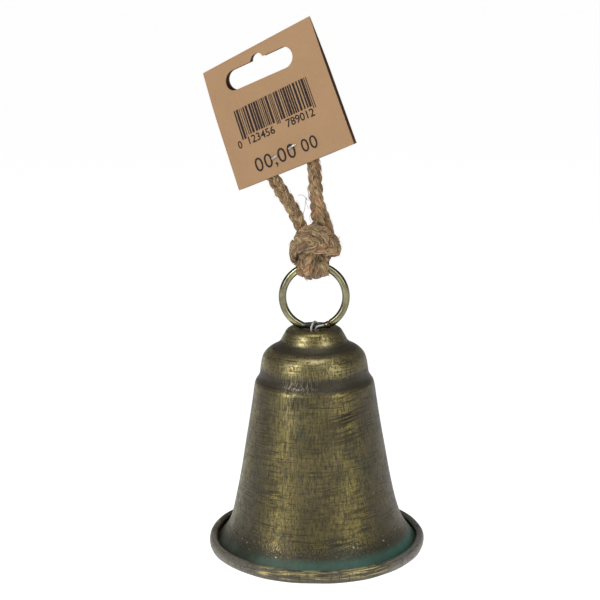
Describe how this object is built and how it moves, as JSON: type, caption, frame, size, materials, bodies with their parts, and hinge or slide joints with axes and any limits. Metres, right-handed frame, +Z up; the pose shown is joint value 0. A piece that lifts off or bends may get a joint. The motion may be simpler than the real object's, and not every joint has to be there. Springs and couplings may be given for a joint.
{
  "type": "hanging bell ornament",
  "caption": "Spun sheet-metal bell with curled rim and inner clapper, hung by a wire hook from a ring on a hitched jute cord loop with a folded card tag.",
  "frame": {"origin": "inner top of the jute loop, where a hook or twig carries the ornament", "axes": "+Z up, -Y towards the viewer, X along the plane of the ring; the bell's axis is vertical at x = 15 mm"},
  "size_m": [0.0917, 0.09, 0.2166],
  "materials": {
    "patinated_iron": "dark olive patina dry-brushed with gold",
    "antique_brass": "antique plated",
    "steel_wire": "plain drawn wire",
    "dark_iron": "dull",
    "jute": "coarse twisted fibre",
    "kraft_card": "uncoated kraft board",
    "staple_steel": "zinc plated"
  },
  "bodies": {
    "cord": {"jute_loop": "jute", "jute_knot": "jute"},
    "tag": {"price_tag": "kraft_card", "tag_staple": "staple_steel"},
    "ring": {"hanging_ring": "antique_brass"},
    "hanger": {"hanger_wire": "steel_wire", "stop_washer": "steel_wire"},
    "bell": {"bell_shell": "patinated_iron"},
    "clapper": {"clapper_wire": "steel_wire", "clapper_ball": "dark_iron"}
  },
  "joints": [
    {"name": "tag_swing", "type": "hinge", "parent": "cord", "child": "tag", "pos_m": [0.00468, -0.00189, -0.0109], "axis": [0.3746, 0.9272, 0], "range_deg": [-20, 20]},
    {"name": "ring_swing", "type": "hinge", "parent": "cord", "child": "ring", "pos_m": [0.015, 0, -0.0567], "axis": [1, 0, 0], "range_deg": [-70, 70]},
    {"name": "bell_swing", "type": "hinge", "parent": "ring", "child": "hanger", "pos_m": [0.015, 0, -0.07], "axis": [0, 1, 0], "range_deg": [-45, 45]},
    {"name": "bell_turn", "type": "hinge", "parent": "hanger", "child": "bell", "pos_m": [0.015, 0, -0.085], "axis": [0, 0, 1], "continuous": true},
    {"name": "clapper_swing", "type": "hinge", "parent": "hanger", "child": "clapper", "pos_m": [0.015, 0, -0.0913], "axis": [1, 0, 0], "range_deg": [-15, 15]}
  ]
}
